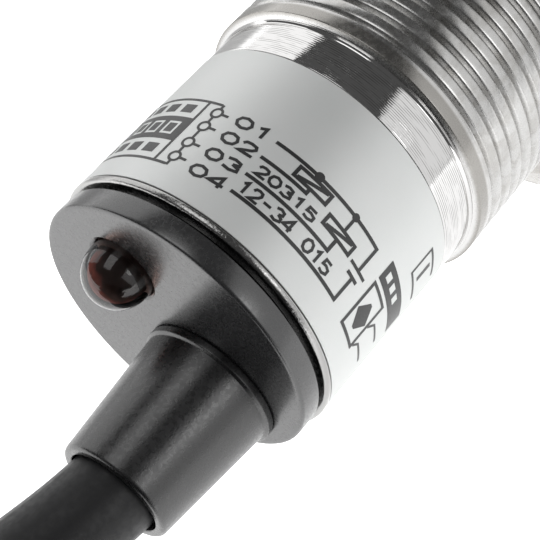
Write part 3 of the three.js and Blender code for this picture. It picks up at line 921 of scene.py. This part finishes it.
def build_print():
    ink = Print(0.001, 0.013)
    weight = 0.2
    # Four wires, numbered, each with its terminal on the left and its line on the right.
    terminal = 108.0
    wires = (("04", 1.88, 2.1), ("03", 3.09, 3.15), ("02", 4.32, 4.38), ("01", 5.48, 5.4))
    for text, s, ring_s in wires:
        ink.ring(terminal, ring_s, 0.3, 0.14)
        ink.bar(terminal - 2.4, terminal - 5, ring_s - 0.075, ring_s + 0.075)
        ink.number(text, 100.2, 85.4, s - 0.33, s + 0.33, 0.17)
    stops = [1.45, 1.74, 2.46, 2.79, 3.51, 4.02, 4.74, 5.04, 5.76, 6.0]
    for low, high in zip(stops[::2], stops[1::2]):
        ink.bar(terminal - 0.5, terminal + 0.5, low, high)
    # The table on the far left: a dark row between two plain ones.
    far = 168
    ink.bar(terminal + 0.5, far, 1.42, 1.58)
    ink.bar(terminal + 0.5, far, 5.9, 6.05)
    ink.bar(113.6, 114.6, 1.58, 2.95)
    ink.bar(113.6, 114.6, 4.65, 5.9)
    ink.bar(113.6, far, 2.95, 4.65)
    ink.bar(far - 1, far, 1.58, 2.95)
    ink.bar(far - 1, far, 4.65, 5.9)
    columns = (118, 126.5, 135, 143.5, 152)
    for first in columns:
        ink.bar(first, first + 5.5, 1.95, 2.6)
        ink.bar(first, first + 5.5, 5.0, 5.6)
    # Lines to a plain diagram of two loads and a supply.
    ink.line([(83.5, 1.88), (33.4, 1.88), (33.4, 3.32)], weight)
    ink.bar(36.8, 30.6, 3.3, 3.5)
    ink.bar(38.4, 28.8, 3.8, 3.98)
    ink.line([(33.4, 3.98), (33.4, 5.48), (83.5, 5.48)], weight)
    ink.line([(83.8, 3.09), (47.2, 3.09), (47.2, 3.85)], weight)
    ink.box(54.6, 40.6, 3.87, 4.46, weight)
    ink.line([(53.5, 3.95), (41.7, 4.38)], weight)
    ink.bar(47.8, 46.6, 4.5, 5.4)
    ink.disc(47.2, 5.48, 0.23)
    ink.line([(84, 4.32), (65, 4.32), (65, 4.6)], weight)
    ink.box(72, 58, 4.63, 5.22, weight)
    ink.line([(70.9, 4.7), (59.1, 5.14)], weight)
    ink.disc(65.2, 5.48, 0.27)
    # Numbers between the lines.
    ink.number("12-34 015", 83, 41.6, 2.1, 2.78, 0.155)
    ink.number("20315", 82.4, 57, 3.38, 3.95, 0.155)
    # Marks on the right: a framed diamond, a dark bar and a small frame.
    ink.box(24.3, 11.8, 1.7, 4.52, 0.19)
    ink.patch(
        22.9,
        13.3,
        lambda a: 3.0 - 0.95 * (1 - abs(a - 18.1) / 4.9),
        lambda a: 3.0 + 0.95 * (1 - abs(a - 18.1) / 4.9),
    )
    ink.line([(11, 1.9), (8.6, 2.3), (-2, 2.3)], 0.14)
    ink.line([(11, 3.2), (8.2, 3.72), (-2, 3.72)], 0.14)
    ink.bar(24.6, -6, 4.85, 6.1)
    ink.line([(-4, 7.15), (11.5, 7.15), (11.5, 9.0), (-4, 9.0)], 0.15)
    ink.bar(6.2, 4.2, 7.5, 8.7)
    piece("label_print", ink.shape, "ink")

    pale = Print(0.001, 0.018)
    for first in columns:
        pale.box(first, first + 5, 3.4, 4.2, 0.14)
    for first in (22, 16.5, 11):
        pale.bar(first, first - 3.2, 5.25, 5.7)
    piece("label_knockout", pale.shape, "label_foil")


build_foil()
build_print()


# ---- rear end ----
def build_cap():
    rim_gap = 0.35
    side_front = BARREL_REAR - rim_gap
    wall = CAP_FACE + 2.9
    plug_front = CAP_FACE + 5.8
    groove = CAP_FACE + 1.75
    cavity_r = 5.9
    outline = rounded([
        (CAP_FACE, 0),
        (CAP_FACE, CAP_R - 0.35),
        (CAP_FACE, CAP_R, 0.2),
        (side_front, CAP_R, 0.06),
        (side_front, PLUG_R, 0.02),
        (groove, PLUG_R),
        (groove, SEAL_GROOVE_R),
        (groove + SEAL_GROOVE_WIDTH, SEAL_GROOVE_R),
        (groove + SEAL_GROOVE_WIDTH, PLUG_R),
        (plug_front, PLUG_R),
        (plug_front, cavity_r),
        (wall, cavity_r),
        (wall, 0),
    ], 5)
    blank = to_mesh("cap_blank", turned(outline, segments=192), lift=0)
    lamp_r = LAMP_R + 0.07
    mouth_r = lamp_r + 0.16
    lamp_seat = CAP_FACE + LAMP_FLANGE[0] - 0.05
    lamp_seat_r = LAMP_R + LAMP_FLANGE[2] + 0.07
    lamp_hole = [
        (CAP_FACE - 1, 0),
        (CAP_FACE - 1, mouth_r),
        (CAP_FACE, mouth_r),
        (CAP_FACE + 0.12, lamp_r),
        (lamp_seat, lamp_r),
        (lamp_seat, lamp_seat_r),
        (wall + 1, lamp_seat_r),
        (wall + 1, 0),
    ]
    boot_r = BOOT_NECK_R + 0.05
    boot_seat_r = 3.3
    boot_hole = [
        (CAP_FACE - 1, 0),
        (CAP_FACE - 1, boot_r),
        (wall, boot_r),
        (wall, boot_seat_r),
        (plug_front + 1, boot_seat_r),
        (plug_front + 1, 0),
    ]
    mesh = carved("cap", blank, [
        to_mesh("lamp_hole", turned(lamp_hole, LAMP, 96), lift=0),
        to_mesh("boot_hole", turned(boot_hole, CABLE, 96), lift=0),
    ])
    mesh.transform(Matrix.Translation((0, 0, AXIS_Z * MM)))
    piece("cap", mesh, "black_plastic", replaced=["rear_cap"])


def build_lamp():
    centre = CAP_FACE - 0.3  # of the dome and of the core's end
    flange_rear, flange_front, proud = LAMP_FLANGE
    flange_r = LAMP_R + proud
    quarter = np.linspace(0, math.pi / 2, 25)

    def dome(r):
        return [(centre - r * math.cos(a), r * math.sin(a)) for a in quarter]

    profile = dome(LAMP_R) + [
        (CAP_FACE + flange_rear, LAMP_R),
        (CAP_FACE + flange_rear, flange_r),
        (CAP_FACE + flange_front, flange_r),
        (CAP_FACE + flange_front, LAMP_R),
        (CAP_FACE + LAMP_LENGTH, LAMP_R),
        (CAP_FACE + LAMP_LENGTH, 0),
    ]
    lens = turned(profile, LAMP, 96)
    piece("lamp_lens", lens, "clear_lens", replaced=["indicator_lens"])

    # Cast into the lens: a dark domed core on a wider foot, and two leads.
    y, z = LAMP
    back = CAP_FACE + 2.15
    core_r, foot_r = 1.02, 1.36
    core = dome(core_r)
    core += [(CAP_FACE + 0.05, core_r), (CAP_FACE + 0.4, foot_r), (back, foot_r), (back, 0)]
    piece("lamp_cup", turned(core, LAMP, 64), "lamp_core")
    lead_rear, lead_front, lead_r = back + 0.1, CAP_FACE + LAMP_LENGTH - 0.05, 0.3
    lead = rounded([
        (lead_rear, 0),
        (lead_rear, lead_r, 0.08),
        (lead_front, lead_r, 0.02),
        (lead_front, 0),
    ])
    for name, side in (("lamp_lead_anode", 0.64), ("lamp_lead_cathode", -0.64)):
        piece(name, turned(lead, (y + side, z), 24), "tinned_copper")


def build_boot():
    flange = CAP_FACE - 0.05
    neck_end = CAP_FACE + 2.85
    bore_r = CABLE_R + 0.05
    outline = rounded([
        (BOOT_END, 2.7, 0.08),
        (BOOT_END, 3.24, 0.28),
        (flange - 0.5, 3.84, 0.06),
        (flange - 0.4, BOOT_FLANGE_R, 0.08),
        (flange, BOOT_FLANGE_R, 0.05),
        (flange, BOOT_NECK_R),
        (neck_end, BOOT_NECK_R),
        (neck_end, bore_r),
        (BOOT_END + 1.2, bore_r, 0.2),
    ], 6)
    boot = turned(outline, CABLE, 128)
    piece("boot", boot, "black_pvc", replaced=["strain_relief"])


build_cap()
build_lamp()
build_boot()


# ---- cable ----
def tube(name, points, radius, replaced, look):
    curve = bpy.data.curves.new(name, "CURVE")
    curve.dimensions = "3D"
    curve.bevel_depth = radius * MM
    curve.bevel_resolution = 6
    curve.use_fill_caps = True
    spline = curve.splines.new("POLY")
    spline.points.add(len(points) - 1)
    for point, p in zip(spline.points, points):
        point.co = (*(c * MM for c in p), 1)
    spline.use_smooth = True
    curve.materials.append(LOOKS[look])
    obj = linked(name, curve)
    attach(obj, "sensor")
    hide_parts(*replaced)
    return obj


def build_strap():
    """A strap round the coil's section, standing in a radial plane."""
    low_r, high_r = COIL_INNER - CABLE_R - 0.5, COIL_OUTER + CABLE_R + 0.3
    low_z, high_z = COIL_LIFT - 0.3, COIL_TOP + 0.3
    corner = 1.2
    outline = []
    for r, z, start in (
        (low_r + corner, low_z + corner, 180),
        (high_r - corner, low_z + corner, 270),
        (high_r - corner, high_z - corner, 0),
        (low_r + corner, high_z - corner, 90),
    ):
        for k in range(7):
            a = math.radians(start + 15 * k)
            outline.append((r, z, math.cos(a), math.sin(a)))
    half = STRAP_WIDTH / 2
    # A flat band with its four corners cut off.
    outer = [(STRAP_THICKNESS - 0.12, half), (STRAP_THICKNESS, half - 0.1)]
    inner = [(STRAP_THICKNESS - out, side) for out, side in outer]
    section = [(out, -side) for out, side in inner[::-1] + outer]
    section += [(out, side) for out, side in outer[::-1] + inner]
    angle = math.radians(STRAP_ANGLE)
    radial = Vector((math.cos(angle), math.sin(angle)))
    across = Vector((-radial.y, radial.x))
    rows = []
    for r, z, nr, nz in outline:
        row = []
        for out, side in section:
            reach = corner + out
            point = Vector((COIL_X, COIL_Y)) + radial * (r + nr * reach) + across * side
            row.append((point.x, point.y, z + nz * reach))
        rows.append(row)
    shape = Shape()
    shape.grid(rows, True, True)
    mesh = to_mesh("strap", shape, lift=0)
    return piece("strap", mesh, "strap", replaced=["coil_strap"])


def build_cable():
    route = cable_route()
    replaced = ["cable_lead", "cable_coil", "cable_tail"]
    cable = tube("cable", route, CABLE_R, replaced, "cable_pvc")
    with_pieces = [build_strap()]
    end_angle, end_r = TAIL_ROUTE[-1]
    rest = COIL_TOP + CORE_R + 0.05
    # Each conductor leaves the jacket's end at its own place and settles on the coil: degrees past
    # the end, radius from the coil's middle, height.
    for colour, (r, across, up) in CORES.items():
        start = end_r + across
        stations = [
            (-3, start, TAIL_Z + up),
            (1.6, start, TAIL_Z + up),
            (4, start + 0.1, TAIL_Z + up),
            (14, start + 0.45 * (r - start), (TAIL_Z + up + rest) / 2),
            (27, start + 0.85 * (r - start), rest),
            (38, r, rest),
            (50.3, r, rest),
        ]
        points = smoothed([on_coil(end_angle + turn, q, z) for turn, q, z in stations], 8)
        name = "core_" + colour
        with_pieces.append(tube("wire_" + colour, points, CORE_R, [name], name))
        bare = [on_coil(end_angle + turn, r, rest) for turn in (49.8, 52, 55, 58, 60)]
        name = "core_tip_" + colour
        tip = tube("wire_tip_" + colour, smoothed(bare, 4), TINNED_R, [name], "tinned_copper")
        with_pieces.append(tip)


build_cable()


# ---- front end ----
def build_front():
    rear, groove = 30.5, 31.6
    seat = BEZEL_FACE - 1.6
    seam = BARREL_FRONT + 0.05
    bezel_r, line_r, bore_r, window_r = 8.4, 8.3, 6.7, 7.3
    bezel = rounded([
        (rear, bore_r),
        (seat, bore_r),
        (seat, window_r + 0.05),
        (BEZEL_FACE, window_r + 0.05, 0.08),
        (BEZEL_FACE, bezel_r, 0.4),
        (seam + 0.9, bezel_r, 0.05),
        (seam + 0.8, line_r, 0.05),
        (seam + 0.5, line_r, 0.05),
        (seam + 0.4, bezel_r, 0.05),
        (seam, bezel_r, 0.08),
        (seam, PLUG_R),
        (groove + SEAL_GROOVE_WIDTH, PLUG_R),
        (groove + SEAL_GROOVE_WIDTH, SEAL_GROOVE_R),
        (groove, SEAL_GROOVE_R),
        (groove, PLUG_R),
        (rear, PLUG_R),
    ])
    piece("bezel", turned(bezel), "black_plastic", replaced=["front_bezel"])
    back, face = seat + 0.05, BEZEL_FACE - 0.35
    window = [(back, 0), (back, window_r, 0.05), (face, window_r, 0.12), (face, 0)]
    window = turned(rounded(window))
    piece("window", window, "red_window", replaced=["front_window"])


build_front()


# ---- mounting hardware ----
def build_nut(name, body, x0):
    x1 = x0 + NUT_THICKNESS
    segments = 144
    half_flat = ACROSS_FLATS / 2
    face_r = half_flat - 0.4  # the faces are turned down to a circle
    lean = math.tan(math.pi / 6)
    mouth_r = THREAD_R + 0.6
    edge_width, least_angle, outside_r = 0.07, math.radians(12), 10

    def hexagon(angle):
        return half_flat / math.cos(angle % (math.pi / 3) - math.pi / 6)

    def radius_at(x, angle):
        thread = THREAD_R - thread_depth(x, angle) + NUT_PLAY
        return max(thread, mouth_r - min(x - x0, x1 - x))

    shape = Shape()
    add_thread(shape, threaded_columns(x0, x1, radius_at, segments))
    rows = []
    for j in range(segments):
        angle = 2 * math.pi * j / segments
        r = hexagon(angle)
        drop = (r - face_r) * lean
        rear = [(x0, mouth_r), (x0, face_r), (x0 + drop, r)]
        front = [(x1 - drop, r), (x1, face_r), (x1, mouth_r)]
        rows.append([around(x, q, angle) for x, q in rear + front])
    shape.grid(rows, True, False)

    def outside_edge(edge):
        middle = (edge.verts[0].co + edge.verts[1].co) / 2
        away = math.hypot(middle.y, middle.z - AXIS_Z * MM)
        return away > outside_r * MM and edge.calc_face_angle(0) > least_angle

    mesh = to_mesh(name, shape, bevel=(outside_edge, edge_width))
    piece(name, mesh, "hardware_plate", body=body, replaced=[body], sharp=28)


def build_washer(name, body, x0):
    """A toothed lock washer: its teeth are twisted out of the ring's plane."""
    teeth, bore, root, tip = 12, 9.2, 10.7, 11.8
    per_tooth = 16
    tooth_share = 0.58  # of the pitch of the teeth
    flank = 0.12
    twist_x = 0.2
    middle = x0 + WASHER_THICKNESS / 2
    rows = []
    for j in range(per_tooth * teeth):
        angle = 2 * math.pi * j / (per_tooth * teeth)
        share = (j / per_tooth) % 1.0
        out = ease(min(share, tooth_share - share) / flank)
        lean = twist_x * (2 * share / tooth_share - 1) * out
        outer = root + (tip - root) * out
        # Radius, half thickness and share of the twist, from the bore outward.
        front = [(bore, 0.2, 0), (bore + 0.06, 0.26, 0), (root - 0.4, 0.26, 0),
                 ((root + outer) / 2, 0.24, 0.6), (outer - 0.06, 0.2, 1), (outer, 0.14, 1)]
        loop = [(middle + half + lean * twist, r) for r, half, twist in front]
        loop += [(middle - half + lean * twist, r) for r, half, twist in front[::-1]]
        rows.append([around(x, r, angle) for x, r in loop])
    shape = Shape()
    shape.grid(rows, True, True)
    piece(name, shape, "spring_steel", body=body, replaced=[body])


build_nut("nut_rear", "rear_nut", REAR_NUT_X)
build_nut("nut_front", "front_nut", FRONT_NUT_X)
build_washer("washer_rear", "rear_washer", REAR_NUT_X + NUT_THICKNESS + HARDWARE_GAP)
build_washer("washer_front", "front_washer", FRONT_NUT_X - HARDWARE_GAP - WASHER_THICKNESS)

# ---- the CAD nodes that stay ----
for part in frame["record"]["subparts"]:
    mesh = frame["nodes"][part["node"]].data
    mesh.materials.clear()
    mesh.materials.append(LOOKS[part["material_slot"]])


# ---- floor and light ----
FLOOR_HALF = 3000.0
FLOOR_DROP = 0.2  # below the part, so that the two don't touch
FLOOR_GLOW = 1.5  # as the camera sees it
# What it gives the part instead: a painted pool of light, this much, behind it, and a painted
# shadow, this much, close to its +Y side.
GLOW_BEHIND, SHADOW_GLOW_BESIDE = 1.9, 0.12


def build_floor():
    mesh = bpy.data.meshes.new("floor")
    corners = [(-1, -1), (1, -1), (1, 1), (-1, 1)]
    points = [(x * FLOOR_HALF * MM, y * FLOOR_HALF * MM, 0) for x, y in corners]
    mesh.from_pydata(points, [], [(0, 1, 2, 3)])
    floor = linked("floor", mesh)
    floor.location.z = -FLOOR_DROP * MM
    look = Look("pale_floor", (0.85, 0.85, 0.85), 0.6)
    look.put(look.shader, "Emission Color", (1, 1, 1, 1))
    x, y = look.axis(0), look.axis(1)
    # Painted light and shadow for the part: the glow is raised behind it and dimmed close to its
    # +Y side.
    behind = look.ramp(x, -70, -20, GLOW_BEHIND, 1.0)
    beside = look.ramp(look.math("ADD", x, y), 8, 26, 1.0, SHADOW_GLOW_BESIDE)
    beside = look.math("MAXIMUM", beside, look.ramp(y, 60, 200, 0.0, 1.0))
    other_side = look.ramp(y, 4, 10, 1.0, 0.0)
    glow = look.math("MULTIPLY", behind, look.math("MAXIMUM", beside, other_side))
    seen = look.nodes.new("ShaderNodeLightPath").outputs["Is Camera Ray"]
    glow = look.math("MAXIMUM", glow, look.math("MULTIPLY", seen, FLOOR_GLOW))
    look.links.new(glow, look.shader.inputs["Emission Strength"])
    mesh.materials.append(look.material)


# Each soft box is a flat panel beside the sensor's axis: its two edges, as angles about that axis
# from +Y, its two ends along X, how far it is turned in its own plane, in degrees, and its
# brightness.
SOFT_BOX_DISTANCE = 500.0
SOFT_BOXES = {
    "key": (118, 179, -200, 800, 18, 0.96),
    "fill": (-3, 47, -200, 800, -12, 1.38),
    "accent": (131, 147, -60, 140, 0, 2.4),
    "top": (62, 88, -330, 130, 0, 1.7),
}
WORLD_GLOW = 0.1


def build_lights():
    for name, (low, high, x0, x1, turn, radiance) in SOFT_BOXES.items():
        middle = math.radians((low + high) / 2)
        height = 2 * SOFT_BOX_DISTANCE * math.tan(math.radians((high - low) / 2))
        data = bpy.data.lights.new(name, "AREA")
        data.shape = "RECTANGLE"
        data.size = (x1 - x0) * MM
        data.size_y = height * MM
        data.energy = radiance * math.pi * data.size * data.size_y
        lamp = linked(name, data)
        along = Vector((1, 0, 0))
        outward = Vector((0, math.cos(middle), math.sin(middle)))
        facing = Matrix((along, outward.cross(along), outward)).transposed().to_4x4()
        place = outward * SOFT_BOX_DISTANCE + Vector(((x0 + x1) / 2, 0, AXIS_Z))
        turned_by = Matrix.Rotation(math.radians(turn), 4, "Z")
        lamp.matrix_world = Matrix.Translation(place * MM) @ facing @ turned_by
        lamp.visible_camera = False


def build_world():
    world = bpy.data.worlds.new("studio")
    bpy.context.scene.world = world
    world.use_nodes = True
    nodes, links = world.node_tree.nodes, world.node_tree.links
    back = nodes["Background"]
    back.inputs["Color"].default_value = (1, 1, 1, 1)
    path = nodes.new("ShaderNodeLightPath")
    strength = nodes.new("ShaderNodeMix")
    strength.inputs[2].default_value = WORLD_GLOW
    strength.inputs[3].default_value = 1.0
    links.new(path.outputs["Is Camera Ray"], strength.inputs[0])
    links.new(strength.outputs[0], back.inputs["Strength"])


build_floor()
build_lights()
build_world()
bpy.context.scene.view_settings.view_transform = "Standard"
